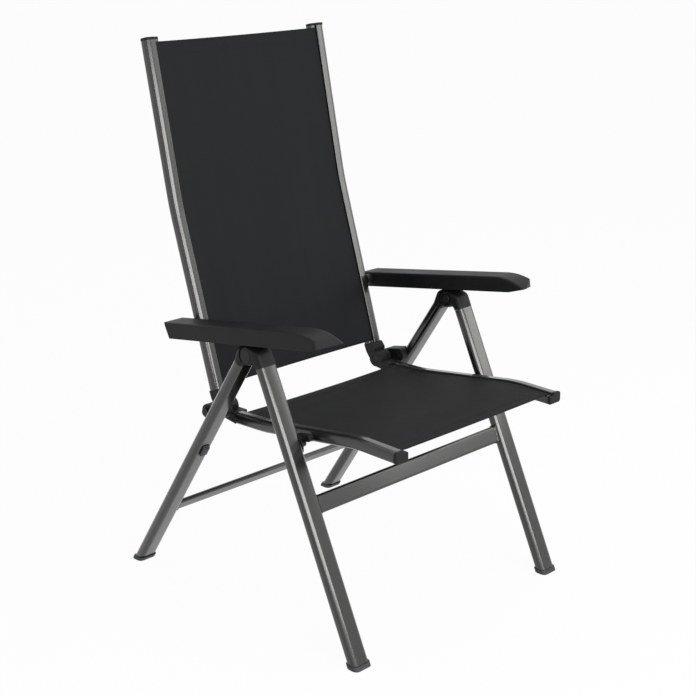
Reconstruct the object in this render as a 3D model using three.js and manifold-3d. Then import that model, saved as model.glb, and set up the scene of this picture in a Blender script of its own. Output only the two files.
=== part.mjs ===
// High-back folding patio chair with woven slings, built as a three.js scene in millimetres.
// The seat faces -Y, +Z is up, the feet stand on Z = 0, and left is the sitter's left (+X).
// Every side piece is drawn for the left and mirrored for the right.

import * as THREE from 'three';
import { mergeVertices } from 'three/addons/utils/BufferGeometryUtils.js';
import Module from 'manifold-3d';

const wasm = await Module();
wasm.setup();

const degrees = THREE.MathUtils.degToRad;

// Fits shared by the whole chair
const clearance = 0.3; // gap between pieces that touch or turn on each other
const overrun = 4; // how far a cut runs past the face that it opens
const plugLength = 20; // how far a moulded cap reaches into its tube
const cornerSteps = 3; // facets in a quarter of a rounded corner
const roundSteps = 20; // facets round a pin, a boss or a bore

// The hinge lines, in side view
const legHinge = { y: -37, z: 535 }; // the front and rear legs meet under the armrest
const seatHinge = { y: 114, z: 381 }; // the seat and the backrest meet behind the rear leg
const armPerch = 21.5; // armrest underside above the leg hinge, square to the armrest
const frontLegLean = degrees(-25);
const rearLegLean = degrees(33.5);
const armrestSlope = degrees(-9);
const originShift = 5; // the side view is drawn from a point this far ahead of the chair's middle

// How the chair moves
const reclineRange = degrees(32);
const armrestShare = 0.285; // part of the recline that tips the armrest
const notchCount = 7;

// Leg tubes
const legCentreX = 275;
const legWidth = 40;
const legDepth = 23;
const legCorner = 7;
const legWall = 1.6;
const frontLegOffset = 20.9; // leg centre line ahead of the leg hinge
const rearLegOffset = 12.6; // leg centre line behind the leg hinge
const frontSeam = 29.5; // upper end of the tube below the leg hinge
const rearSeam = 31.5;
const footHeight = 8;
const footLip = 1.5;

// Knuckles at the leg hinge
const hubRadius = 19.5;
const tongueWidth = 13.4;
const slotRadius = 25;
const elbowShoulder = { back: -17, up: -6, radius: 12 };
const elbowWaist = { back: -20.4, up: -19, radius: 8.5 };
const rearShoulder = { back: 13, up: -9, radius: 15.5 };
const rearWaist = { back: 12.6, up: -20, radius: 10.5 };
const neckHeight = 13; // straight part of a cap above the end of its tube
const capEdge = 1.5;
const crownEdge = 5; // rounding of both caps between their sides and their outer faces
const catchHeight = 24;
const catchRadius = 3.5;
const catchRoot = 9;
const legPinRadius = 5;
const legPinHead = 12.2;
const legPinNut = 9;
const pinHeadThickness = 2.8;
const pinHeadRecess = 2.2;
const pinHeadEdge = 0.8;

// Crossbars between the legs
const frontBar = { reach: 298, height: 35, thickness: 12, corner: 4.5, setback: 7.5 };
const rearBar = { reach: 480, height: 25, thickness: 10, corner: 4, setback: 6.5 };
const flangeThickness = 2;
const flangeRim = 2.2;

// Buffers that the front legs meet when the chair is folded
const buffer = { reach: 279, length: 28, height: 5.5, width: 16, chamfer: 3 };

// Section shared by the seat and back rails: a main tube, and a lobe that holds the sling
const railOuterX = 234;
const railDepth = 22;
const mainWidth = 21;
const mainCorner = 5;
const lobeWidth = 12;
const lobeStep = 4.5;
const lobeCorner = 3;
const railWall = 1.6;
const grooveRadius = 3.6;
const grooveDepth = 10; // groove centre below the sitter's face of the main tube
const slitWidth = 2.4;

// Rail lines, in side view
const backFoot = { y: 137, z: 411 };
const backBend = { y: 246.4, z: 760 };
const backTop = { y: 313.7, z: 1073 };
const backBendRadius = 600;
const seatNose = { y: -351, z: 406.5 };
const seatFrontBend = { y: -256, z: 407.5 };
const seatRearBend = { y: -10, z: 373 };
const seatTail = { y: 71, z: 369.5 };
const seatFrontRadius = 350;
const seatRearRadius = 350;
const bendStep = degrees(4);
const topCapHeight = 5.3;
const frontCapHeight = 6.5;
const railCapEdge = 2.2;

// Slings
const slingThickness = 1.2;
const beadRadius = 2.8;
const hemInset = 5; // sling edge short of the rail end
const hemWidth = 26;
const hemExtra = 0.9;

// Seat hinge
const knuckleRadius = 17;
const knuckleSlot = 13; // width of the slot for the backrest's tongue
const kneeDrop = 9.2;
const kneeRadius = 7.6;
const yokeFront = degrees(82); // the backrest's yoke wraps the knuckle between these two angles
const yokeRear = degrees(0);
const yokeHeelAngle = degrees(22);
const yokeWall = 5.5;
const seatPinRadius = 5;
const seatPinHead = 8.4;
const seatPinNut = 9;
const spacerRadius = 11;
const bracketWidth = 28;
const bracketBoss = 15.5;
const bracketPad = { back: 19, reach: 189, radius: 15 };
const rivetRadius = 4;
const rivetHeight = 1.4;
const bracketInnerX = 240;

// Seat rests on the front legs
const restReach = 183; // rest pin below the leg hinge, along the leg
const restPinRadius = 6;
const restPinLength = 14;
const restPlateThickness = 4;
const restPlateRadius = 9;
const restPlateTail = { drop: 12, radius: 4 };
const saddle = { half: 14, radius: 6.4, depth: 1.6, width: 12.5 };

// Stretchers of the seat and of the backrest, hidden by the slings
const stretcher = { depth: 26, thickness: 11, edge: 2.5, sink: 2 };
const seatBow = 14;
const backBow = 10;
const stretcherSteps = 10;
const frontStretcherAt = 125; // from the front end of the seat rail
const rearStretcherAt = 388;
const lowerStretcherAt = 68; // from the lower end of the back rail
const upperStretcherAt = 545;

// Armrests
const armInnerX = 248;
const armWidth = 52;
const armTop = 14.2; // above the armrest hinge
const armHeight = 31.2;
const armRear = 21;
const armRearSlant = 12;
const noseStart = 350; // the flat top ends this far ahead of the hinge
const noseRadius = 130;
const noseInner = 427; // front end of the armrest on the sitter's side
const noseOuter = 407;
const toeStart = 387;
const toeLift = 6.5;
const armWall = 3;
const armTopWall = 4;
const armEdge = 4;
const armRearCorner = 6;
const armOuterCorner = 9;
const armInnerCorner = 5;
const ribPlaces = [62, 112, 162, 342];
const ribThickness = 2.4;
const ribInset = 3;
const hollowFront = 347;
const armPinRadius = 5;
const armPinCollar = 6.8;
const armPinCollarLength = 9;
const armSpacerRadius = 11;
const bushRadius = 8;
const armBossRadius = 11.5;
const armBlindWall = 8;

// Ratchet rack inside each armrest
const rackWidth = 13;
const rackFlange = 24;
const rackFlangeThickness = 3;
const rackMargin = 12;
const notchDepth = 6.5;
const notchRadius = 4.2;

// Finishes
const paintedAlloy = { color: 0x5b5d5e, roughness: 0.4, metalness: 0.85 };
const blackPlastic = { color: 0x232627, roughness: 0.55, metalness: 0 };
const wovenSling = { color: 0x292b2e, roughness: 0.88, metalness: 0 };
const blackSteel = { color: 0x3a3c3e, roughness: 0.42, metalness: 0.9 };

// Places worked out from the sizes above
const legInnerX = legCentreX - legWidth / 2;
const legOuterX = legCentreX + legWidth / 2;
const railInnerX = railOuterX - mainWidth - lobeWidth;
const grooveX = railOuterX - mainWidth - slitWidth / 2;
const hollowInnerX = grooveX + grooveRadius + railWall;
const backSlope = (backBend.y - backFoot.y) / (backBend.z - backFoot.z);
const slotMidX = (railInnerX + railOuterX) / 2;
const armBottom = armTop - armHeight;
const armHinge = armHingePlace();

// Solids

function welded(geometry) {
  const bare = geometry.clone();
  bare.deleteAttribute('normal');
  bare.deleteAttribute('uv');
  return mergeVertices(bare);
}

function toSolid(geometry) {
  const bare = welded(geometry);
  return new wasm.Manifold(new wasm.Mesh({
    numProp: 3,
    vertProperties: new Float32Array(bare.attributes.position.array),
    triVerts: new Uint32Array(bare.index.array),
  }));
}

function toGeometry(solid) {
  const mesh = solid.getMesh();
  const geometry = new THREE.BufferGeometry();
  geometry.setAttribute('position', new THREE.BufferAttribute(new Float32Array(mesh.vertProperties), 3));
  geometry.setIndex(new THREE.BufferAttribute(new Uint32Array(mesh.triVerts), 1));
  geometry.computeVertexNormals();
  return geometry;
}

function cut(geometry, ...tools) {
  return toGeometry(tools.reduce((left, tool) => left.subtract(toSolid(tool)), toSolid(geometry)));
}

function join(geometry, ...others) {
  return toGeometry(others.reduce((sum, other) => sum.add(toSolid(other)), toSolid(geometry)));
}

function common(geometry, ...others) {
  return toGeometry(others.reduce((left, other) => left.intersect(toSolid(other)), toSolid(geometry)));
}

function mirrored(geometry) {
  const copy = welded(geometry);
  copy.scale(-1, 1, 1);
  const index = copy.index;
  for (let i = 0; i < index.count; i += 3) {
    const second = index.getX(i + 1);
    index.setX(i + 1, index.getX(i + 2));
    index.setX(i + 2, second);
  }
  copy.computeVertexNormals();
  return copy;
}

// Outlines

function arc(x, y, radius, from, to, steps) {
  return Array.from({ length: steps + 1 }, (_, i) => {
    const angle = from + (to - from) * (i / steps);
    return new THREE.Vector2(x + radius * Math.cos(angle), y + radius * Math.sin(angle));
  });
}

function circlePoints(x, y, radius, steps = roundSteps) {
  return arc(x, y, radius, 0, 2 * Math.PI, steps).slice(0, steps);
}

function roundedBox(left, right, bottom, top, [rightTop, leftTop, leftBottom, rightBottom]) {
  const quarter = Math.PI / 2;
  return [
    ...arc(right - rightTop, top - rightTop, rightTop, 0, quarter, cornerSteps),
    ...arc(left + leftTop, top - leftTop, leftTop, quarter, 2 * quarter, cornerSteps),
    ...arc(left + leftBottom, bottom + leftBottom, leftBottom, 2 * quarter, 3 * quarter, cornerSteps),
    ...arc(right - rightBottom, bottom + rightBottom, rightBottom, 3 * quarter, 4 * quarter, cornerSteps),
  ];
}

function roundedRect(width, height, radius) {
  const corners = [radius, radius, radius, radius];
  return roundedBox(-width / 2, width / 2, -height / 2, height / 2, corners);
}

function shapeOf(points, hole) {
  const shape = new THREE.Shape(points);
  if (hole) {
    shape.holes.push(new THREE.Path(hole));
  }
  return shape;
}

// The outline of a belt drawn tight round circles given by {back, up, radius}
function belt(circles) {
  const points = circles.flatMap(({ back, up, radius }) => (
    radius > 0 ? circlePoints(back, up, radius) : [new THREE.Vector2(back, up)]
  ));
  points.sort((a, b) => a.x - b.x || a.y - b.y);
  const half = (ordered) => ordered.reduce((chain, point) => {
    while (chain.length > 1 && turns(chain[chain.length - 2], chain[chain.length - 1], point) <= 0) {
      chain.pop();
    }
    return [...chain, point];
  }, []);
  const lower = half(points);
  const upper = half([...points].reverse());
  return new THREE.Shape([...lower.slice(0, -1), ...upper.slice(0, -1)]);
}

function turns(a, b, c) {
  return (b.x - a.x) * (c.y - a.y) - (b.y - a.y) * (c.x - a.x);
}

// Prisms, cylinders and turned pieces

function uprightPrism(shape, from, to) {
  const geometry = new THREE.ExtrudeGeometry(shape, { depth: to - from, bevelEnabled: false });
  return geometry.translate(0, 0, from);
}

// A prism whose outline is drawn in side view and that lies along X, with rounded rims of size edge
function sidePrism(shape, from, to, edge = 0) {
  const geometry = new THREE.ExtrudeGeometry(shape, {
    depth: to - from - 2 * edge,
    bevelEnabled: edge > 0,
    bevelThickness: edge,
    bevelSize: edge,
    bevelOffset: -edge,
    bevelSegments: 2,
  });
  geometry.rotateY(Math.PI / 2);
  geometry.rotateX(Math.PI / 2);
  return geometry.translate(from + edge, 0, 0);
}

// A prism between two planes that slope in side view, such as a leg cut level with the floor
function slopedPrism(shape, offset, bottomAt, topAt) {
  const geometry = new THREE.ExtrudeGeometry(shape, { depth: 1, bevelEnabled: false });
  const places = geometry.attributes.position;
  for (let i = 0; i < places.count; i += 1) {
    const y = places.getY(i) + offset;
    places.setY(i, y);
    places.setZ(i, places.getZ(i) > 0.5 ? topAt(y) : bottomAt(y));
  }
  return geometry;
}

function crossCylinder(radius, from, to, centre = { y: 0, z: 0 }) {
  const geometry = new THREE.CylinderGeometry(radius, radius, to - from, roundSteps);
  geometry.rotateZ(Math.PI / 2);
  return geometry.translate((from + to) / 2, centre.y, centre.z);
}

// A turned piece on an axis along X: the profile lists [x, radius] from its inner to its outer end
function turned(profile, centre = { y: 0, z: 0 }) {
  const points = profile.map(([x, radius]) => new THREE.Vector2(radius, x));
  const geometry = new THREE.LatheGeometry(points, roundSteps);
  geometry.rotateZ(-Math.PI / 2);
  return geometry.translate(0, centre.y, centre.z);
}

function ring(outer, inner, from, to, centre) {
  return turned([[from, inner], [from, outer], [to, outer], [to, inner], [from, inner]], centre);
}

// Side-view arithmetic

function rotated(y, z, angle) {
  return {
    y: y * Math.cos(angle) - z * Math.sin(angle),
    z: y * Math.sin(angle) + z * Math.cos(angle),
  };
}

// A point of the side view as seen from a frame that stands at origin, turned by lean
function inFrame(point, origin, lean) {
  return rotated(point.y - origin.y, point.z - origin.z, -lean);
}

// Height in a leg's own frame of the level plane at the given height above the floor
function levelIn(lean, height) {
  return (y) => (height - legHinge.z - y * Math.sin(lean)) / Math.cos(lean);
}

// A rail line in side view: straight runs joined by round bends, read by its length.
// Only the part between two lengths is kept, and they may lie past the ends.
class RailLine extends THREE.Curve {
  constructor(corners, radii, from = 0, to = null) {
    super();
    this.runs = [];
    this.total = 0;
    let start = corners[0];
    radii.forEach((radius, i) => {
      start = this.addBend(start, corners[i + 1], corners[i + 2], radius);
    });
    this.addRun(start, corners[corners.length - 1]);
    const end = to === null ? this.total : to;
    const inside = this.runs.flatMap((run) => run.stations).filter((s) => s > from && s < end);
    this.stations = [from, ...inside, end];
  }

  get steps() {
    return this.stations.length - 1;
  }

  addRun(from, to) {
    const length = from.distanceTo(to);
    const heading = to.clone().sub(from).normalize();
    this.runs.push({
      start: this.total,
      stations: [this.total],
      at: (d) => from.clone().addScaledVector(heading, d),
      heading: () => heading,
    });
    this.total += length;
  }

  addBend(from, corner, next, radius) {
    const before = corner.clone().sub(from).normalize();
    const after = next.clone().sub(corner).normalize();
    const turn = Math.atan2(before.cross(after), before.dot(after));
    const setback = radius * Math.tan(Math.abs(turn) / 2);
    const start = corner.clone().addScaledVector(before, -setback);
    const toCentre = new THREE.Vector2(-before.y, before.x).multiplyScalar(Math.sign(turn) * radius);
    const centre = start.clone().add(toCentre);
    const origin = new THREE.Vector2();
    this.addRun(from, start);
    const length = radius * Math.abs(turn);
    const pieces = Math.ceil(Math.abs(turn) / bendStep);
    const bendStart = this.total;
    this.runs.push({
      start: bendStart,
      stations: Array.from({ length: pieces }, (_, i) => bendStart + length * (i / pieces)),
      at: (d) => start.clone().rotateAround(centre, Math.sign(turn) * (d / radius)),
      heading: (d) => before.clone().rotateAround(origin, Math.sign(turn) * (d / radius)),
    });
    this.total += length;
    return corner.clone().addScaledVector(after, setback);
  }

  runAt(length) {
    return this.runs.findLast((run) => run.start <= length) ?? this.runs[0];
  }

  lengthAt(t) {
    const place = t * this.steps;
    const i = Math.min(Math.floor(place), this.steps - 1);
    return THREE.MathUtils.lerp(this.stations[i], this.stations[i + 1], place - i);
  }

  getPoint(t, target = new THREE.Vector3()) {
    const length = this.lengthAt(t);
    const run = this.runAt(length);
    const point = run.at(length - run.start);
    return target.set(0, point.x, point.y);
  }

  getTangent(t, target = new THREE.Vector3()) {
    const length = this.lengthAt(t);
    const run = this.runAt(length);
    const heading = run.heading(length - run.start);
    return target.set(0, heading.x, heading.y);
  }

  getPointAt(t, target) {
    return this.getPoint(t, target);
  }

  getTangentAt(t, target) {
    return this.getTangent(t, target);
  }

  // Places a piece drawn in a rail's section, +Z along the line, at a length of the line
  frameAt(length) {
    const run = this.runAt(length);
    const point = run.at(length - run.start);
    const heading = run.heading(length - run.start);
    const across = new THREE.Vector3(-1, 0, 0);
    const faceward = new THREE.Vector3(0, -heading.y, heading.x);
    const along = new THREE.Vector3(0, heading.x, heading.y);
    return new THREE.Matrix4().makeBasis(across, faceward, along).setPosition(0, point.x, point.y);
  }
}

function railLine(corners, radii) {
  const points = corners.map(({ y, z }) => new THREE.Vector2(y, z));
  return (from, to) => new RailLine(points, radii, from, to);
}

const backLine = railLine([backFoot, backBend, backTop], [backBendRadius]);
const seatLine = railLine(
  [seatNose, seatFrontBend, seatRearBend, seatTail],
  [seatFrontRadius, seatRearRadius],
);
const backLength = backLine().total;
const seatLength = seatLine().total;

// Sweeping turns a section's +X to the chair's -X, and its +Y to the sitter's side
function swept(shape, line) {
  return new THREE.ExtrudeGeometry(shape, { steps: line.steps, extrudePath: line });
}

// Legs

function legSection(margin = 0) {
  return roundedRect(legWidth + 2 * margin, legDepth + 2 * margin, legCorner + margin);
}

function legTube(offset, lean, seam) {
  const shape = shapeOf(legSection(), legSection(-legWall));
  const tube = slopedPrism(shape, offset, levelIn(lean, footHeight + clearance), () => -seam);
  return tube.translate(legCentreX, 0, 0);
}

function foot(offset, lean) {
  const shoe = slopedPrism(shapeOf(legSection(footLip)), offset, levelIn(lean, 0), levelIn(lean, footHeight));
  const plugShape = shapeOf(legSection(-legWall - clearance));
  const plug = slopedPrism(
    plugShape,
    offset,
    levelIn(lean, footHeight / 2),
    levelIn(lean, footHeight + plugLength),
  );
  return join(shoe, plug).translate(legCentreX, 0, 0);
}

function crossbar(bar, centreY) {
  const across = legInnerX - clearance;
  const outline = (rim, hole) => {
    const points = roundedRect(bar.thickness + 2 * rim, bar.height + 2 * rim, bar.corner + rim);
    const moved = points.map((p) => p.add(new THREE.Vector2(centreY, -bar.reach)));
    return shapeOf(moved, hole);
  };
  const tube = sidePrism(outline(0), -across, across);
  const flanges = [-1, 1].map((sign) => {
    const [near, far] = [across - flangeThickness, across].map((x) => sign * x);
    return sidePrism(outline(flangeRim), Math.min(near, far), Math.max(near, far));
  });
  return join(tube, ...flanges);
}

function barCentre(bar, offset) {
  return offset - legDepth / 2 + bar.setback + bar.thickness / 2;
}

function foldBuffer() {
  const face = rearLegOffset - legDepth / 2 - clearance;
  const half = buffer.length / 2;
  const outline = new THREE.Shape([
    new THREE.Vector2(face, -buffer.reach - half),
    new THREE.Vector2(face, -buffer.reach + half),
    new THREE.Vector2(face - buffer.height, -buffer.reach + half - buffer.chamfer * 2),
    new THREE.Vector2(face - buffer.height, -buffer.reach - half + buffer.chamfer),
    new THREE.Vector2(face - buffer.height / 2, -buffer.reach - half),
  ]);
  return sidePrism(outline, legCentreX - buffer.width / 2, legCentreX + buffer.width / 2, capEdge);
}

// Knuckles at the leg hinge

function legCapNeck(offset, seam) {
  const neck = uprightPrism(shapeOf(legSection()), -seam + clearance, -seam + neckHeight);
  const plug = uprightPrism(shapeOf(legSection(-legWall - clearance)), -seam - plugLength, -seam + neckHeight / 2);
  return join(neck, plug).translate(legCentreX, offset, 0);
}

function legElbow() {
  const hub = { back: 0, up: 0, radius: hubRadius };
  const head = sidePrism(belt([hub, elbowShoulder]), legInnerX, legOuterX, crownEdge);
  const waist = sidePrism(belt([elbowShoulder, elbowWaist]), legInnerX, legOuterX, crownEdge);
  const half = tongueWidth / 2 + clearance;
  return cut(
    join(head, waist, legCapNeck(-frontLegOffset, frontSeam)),
    crossCylinder(slotRadius, legCentreX - half, legCentreX + half),
    crossCylinder(legPinRadius + clearance, legInnerX - overrun, legOuterX + overrun),
    crossCylinder(legPinHead + clearance, legOuterX - pinHeadRecess, legOuterX + overrun),
    crossCylinder(legPinNut + clearance, legInnerX - overrun, legInnerX + pinHeadRecess),
  );
}

function rearLegCap() {
  const hub = { back: 0, up: 0, radius: hubRadius };
  const shoulders = sidePrism(belt([rearShoulder, rearWaist]), legInnerX, legOuterX, crownEdge);
  const body = cut(
    join(shoulders, legCapNeck(rearLegOffset, rearSeam)),
    crossCylinder(hubRadius + 2 * clearance, legInnerX - overrun, legOuterX + overrun),
  );
  const inner = legCentreX - tongueWidth / 2;
  const outer = legCentreX + tongueWidth / 2;
  const tongue = sidePrism(belt([hub, rearShoulder]), inner, outer);
  const tip = rotated(0, catchHeight - catchRadius, -rearLegLean);
  const root = { back: 0, up: 0, radius: catchRoot };
  const lug = sidePrism(belt([root, { back: tip.y, up: tip.z, radius: catchRadius }]), inner, outer);
  return cut(
    join(body, tongue, lug),
    crossCylinder(legPinRadius + clearance, inner - overrun, outer + overrun),
  );
}

function legHingePin() {
  const innerFace = legInnerX + pinHeadRecess - clearance;
  const outerFace = legOuterX - pinHeadRecess + clearance;
  return turned([
    [innerFace - pinHeadThickness, 0],
    [innerFace - pinHeadThickness, legPinNut - pinHeadEdge],
    [innerFace - pinHeadThickness + pinHeadEdge, legPinNut],
    [innerFace, legPinNut],
    [innerFace, legPinRadius],
    [outerFace, legPinRadius],
    [outerFace, legPinHead],
    [outerFace + pinHeadThickness - pinHeadEdge, legPinHead],
    [outerFace + pinHeadThickness, legPinHead - 2 * pinHeadEdge],
    [outerFace + pinHeadThickness, 0],
  ]);
}

// Seat hinge

function pivotBracket() {
  const boss = inFrame(seatHinge, legHinge, rearLegLean);
  const outline = belt([
    { back: boss.y, up: boss.z, radius: bracketBoss },
    { back: bracketPad.back, up: -bracketPad.reach, radius: bracketPad.radius },
  ]);
  const outerX = bracketInnerX + bracketWidth;
  const body = sidePrism(outline, bracketInnerX, outerX, capEdge);
  const leg = uprightPrism(shapeOf(legSection(clearance)), -bracketPad.reach - legWidth * 2, 0);
  leg.translate(legCentreX, rearLegOffset, 0);
  const padCentre = { y: bracketPad.back, z: -bracketPad.reach };
  const rivet = crossCylinder(rivetRadius, bracketInnerX - rivetHeight, legInnerX - clearance, padCentre);
  return cut(
    join(body, rivet),
    leg,
    crossCylinder(seatPinRadius + clearance, bracketInnerX - overrun, outerX + overrun, boss),
  );
}

function seatHingePin() {
  const inner = railInnerX + clearance;
  const headEnd = inner + pinHeadThickness;
  const nutStart = bracketInnerX + bracketWidth + clearance;
  const nutEnd = nutStart + 2 * pinHeadThickness;
  return turned([
    [inner, 0],
    [inner, seatPinHead - pinHeadEdge],
    [inner + pinHeadEdge, seatPinHead],
    [headEnd, seatPinHead],
    [headEnd, seatPinRadius],
    [nutStart, seatPinRadius],
    [nutStart, seatPinNut],
    [nutEnd - pinHeadEdge, seatPinNut],
    [nutEnd, seatPinNut - pinHeadEdge],
    [nutEnd, 0],
  ], seatHinge);
}

function seatHingeSpacer() {
  return ring(
    spacerRadius,
    seatPinRadius + clearance,
    railOuterX + clearance,
    bracketInnerX - clearance,
    seatHinge,
  );
}

// Rails

function railOutline() {
  const top = railDepth / 2;
  const quarter = Math.PI / 2;
  const lobeTop = top - lobeStep;
  return [
    ...arc(-railOuterX + mainCorner, -top + mainCorner, mainCorner, 2 * quarter, 3 * quarter, cornerSteps),
    ...arc(-railInnerX - lobeCorner, -top + lobeCorner, lobeCorner, -quarter, 0, cornerSteps),
    ...arc(-railInnerX - lobeCorner, lobeTop - lobeCorner, lobeCorner, 0, quarter, cornerSteps),
    new THREE.Vector2(-grooveX, lobeTop),
    new THREE.Vector2(-grooveX, top - lobeCorner),
    ...arc(-grooveX - lobeCorner, top - lobeCorner, lobeCorner, 0, quarter, cornerSteps),
    ...arc(-railOuterX + mainCorner, top - mainCorner, mainCorner, quarter, 2 * quarter, cornerSteps),
  ];
}

function railHollow(margin = 0) {
  const wall = railWall + margin;
  const corner = mainCorner - railWall;
  const half = railDepth / 2 - wall;
  const corners = [corner, corner, corner, corner];
  return roundedBox(-railOuterX + wall, -hollowInnerX - margin, -half, half, corners);
}

function slingSlot(line) {
  const top = railDepth / 2;
  const bore = swept(shapeOf(circlePoints(-grooveX, top - grooveDepth, grooveRadius)), line);
  const half = slitWidth / 2;
  const slit = swept(new THREE.Shape([
    new THREE.Vector2(-grooveX - half, top - grooveDepth),
    new THREE.Vector2(-grooveX + half, top - grooveDepth),
    new THREE.Vector2(-grooveX + half, top + overrun),
    new THREE.Vector2(-grooveX - half, top + overrun),
  ]), line);
  return [bore, slit];
}

function rail(makeLine, length) {
  const tube = swept(shapeOf(railOutline(), railHollow()), makeLine());
  return cut(tube, ...slingSlot(makeLine(-overrun, length + overrun)));
}

// A block of the rail's section, past the end of the line (side 1) or before its start (side -1)
function railCap(height, side) {
  const depth = height + railCapEdge;
  const geometry = new THREE.ExtrudeGeometry(new THREE.Shape(railOutline()), {
    depth,
    bevelThickness: railCapEdge,
    bevelSize: railCapEdge,
    bevelOffset: -railCapEdge,
    bevelSegments: 3,
  });
  geometry.translate(0, 0, side > 0 ? height - railCapEdge - depth : railCapEdge - height);
  const wide = railOuterX + railDepth;
  const waste = new THREE.BoxGeometry(2 * wide, 2 * wide, 2 * depth + overrun);
  waste.translate(0, 0, side * (clearance - depth - overrun / 2));
  return cut(geometry, waste);
}

function railPlug(side) {
  const plug = uprightPrism(new THREE.Shape(railHollow(clearance)), 0, plugLength + 2 * clearance);
  return plug.translate(0, 0, side > 0 ? -plugLength : -2 * clearance);
}

function backTopCap() {
  return join(railCap(topCapHeight, 1), railPlug(1)).applyMatrix4(backLine().frameAt(backLength));
}

function seatFrontCap() {
  return join(railCap(frontCapHeight, -1), railPlug(-1)).applyMatrix4(seatLine().frameAt(0));
}

// The two corners in side view of a rail's end face
function railEnd(frame) {
  return [railDepth / 2, -railDepth / 2].map((y) => {
    const corner = new THREE.Vector3(0, y, 0).applyMatrix4(frame);
    return new THREE.Vector2(corner.y, corner.z);
  });
}

function seatKnuckle() {
  const tail = railEnd(seatLine().frameAt(seatLength + clearance));
  const neck = sidePrism(belt([
    ...tail.map((corner) => ({ back: corner.x, up: corner.y, radius: 0 })),
    { back: seatHinge.y, up: seatHinge.z - kneeDrop, radius: kneeRadius },
  ]), railInnerX, railOuterX, capEdge);
  const disc = crossCylinder(knuckleRadius, railInnerX, railOuterX, seatHinge);
  const plug = railPlug(1).applyMatrix4(seatLine().frameAt(seatLength + clearance));
  const half = knuckleSlot / 2;
  const headEnd = railInnerX + pinHeadThickness + 2 * clearance;
  return cut(
    join(disc, neck, plug),
    crossCylinder(knuckleRadius + 2 * clearance, slotMidX - half, slotMidX + half, seatHinge),
    crossCylinder(seatPinRadius + clearance, railInnerX - overrun, railOuterX + overrun, seatHinge),
    crossCylinder(seatPinHead + clearance, railInnerX - overrun, headEnd, seatHinge),
  );
}

function aroundHinge(radius, angle) {
  return new THREE.Vector2(
    seatHinge.y + radius * Math.cos(angle),
    seatHinge.z + radius * Math.sin(angle),
  );
}

function backKnuckle() {
  const inner = knuckleRadius + 2 * clearance;
  const foot = railEnd(backLine().frameAt(-clearance));
  const yoke = sidePrism(new THREE.Shape([
    ...arc(seatHinge.y, seatHinge.z, inner, yokeRear, yokeFront, 2 * cornerSteps),
    aroundHinge(inner + yokeWall, yokeFront),
    ...foot,
    aroundHinge(inner + yokeWall * 2, yokeHeelAngle),
    aroundHinge(inner + clearance, yokeRear),
  ]), railInnerX, railOuterX);
  const half = knuckleSlot / 2 - clearance;
  const disc = { back: seatHinge.y, up: seatHinge.z, radius: knuckleRadius - clearance };
  const root = aroundHinge(inner + yokeWall, (yokeRear + yokeFront) / 2);
  const tongue = sidePrism(
    belt([disc, { back: root.x, up: root.y, radius: yokeWall / 2 }]),
    slotMidX - half,
    slotMidX + half,
  );
  const plug = railPlug(-1).applyMatrix4(backLine().frameAt(-clearance));
  return cut(
    join(yoke, tongue, plug),
    crossCylinder(seatPinRadius + clearance, railInnerX - overrun, railOuterX + overrun, seatHinge),
  );
}

function backRail() {
  const bore = crossCylinder(armPinRadius + clearance, hollowInnerX + railWall, railOuterX + overrun, armHinge);
  return cut(rail(backLine, backLength), bore);
}

// Slings

// The woven sheet between two rails, with the bead that each edge carries in its groove
function slingOutline(extra) {
  const under = railDepth / 2 - lobeStep + clearance;
  const top = under + slingThickness + extra;
  const bead = railDepth / 2 - grooveDepth;
  const half = slingThickness / 2;
  const lean = Math.asin(half / beadRadius);
  const edge = (side) => [
    new THREE.Vector2(side * grooveX + half, under + slingThickness),
    ...arc(side * grooveX, bead, beadRadius, Math.PI / 2 - lean, Math.PI / 2 + lean - 2 * Math.PI, 2 * cornerSteps),
    new THREE.Vector2(side * grooveX - half, under + slingThickness),
  ];
  const right = edge(1);
  const left = edge(-1);
  right[right.length - 1].y = under;
  left[0].y = under;
  const rise = railInnerX - extra;
  return [
    new THREE.Vector2(-rise, under + slingThickness),
    new THREE.Vector2(-rise + extra, top),
    new THREE.Vector2(rise - extra, top),
    new THREE.Vector2(rise, under + slingThickness),
    ...right,
    ...left,
  ];
}

function sling(makeLine, length) {
  const end = length - hemInset;
  const sheet = swept(shapeOf(slingOutline(0)), makeLine(hemInset, end));
  const hems = [[hemInset, hemInset + hemWidth], [end - hemWidth, end]].map(([from, to]) => (
    swept(shapeOf(slingOutline(hemExtra)), makeLine(from, to))
  ));
  return join(sheet, ...hems);
}

// A bowed stretcher between two rails, below the sling, at a length of the rail line
function railStretcher(line, at, bow) {
  const half = railInnerX - clearance;
  const radius = (half * half + bow * bow) / (2 * bow);
  const reach = Math.asin(half / radius);
  const level = -stretcher.sink - bow;
  const edge = (offset, from, to) => arc(
    0,
    level + radius,
    radius + offset,
    -Math.PI / 2 + from,
    -Math.PI / 2 + to,
    stretcherSteps,
  );
  const outline = [
    ...edge(stretcher.thickness / 2, -reach, reach),
    ...edge(-stretcher.thickness / 2, reach, -reach),
  ];
  const trimmed = outline.map((p) => new THREE.Vector2(THREE.MathUtils.clamp(p.x, -half, half), p.y));
  const bar = new THREE.ExtrudeGeometry(new THREE.Shape(trimmed), {
    depth: stretcher.depth - 2 * stretcher.edge,
    bevelThickness: stretcher.edge,
    bevelSize: stretcher.edge,
    bevelOffset: -stretcher.edge,
    bevelSegments: 1,
  });
  bar.translate(0, 0, stretcher.edge - stretcher.depth / 2);
  return bar.applyMatrix4(line.frameAt(at));
}

// Seat rests

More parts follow.
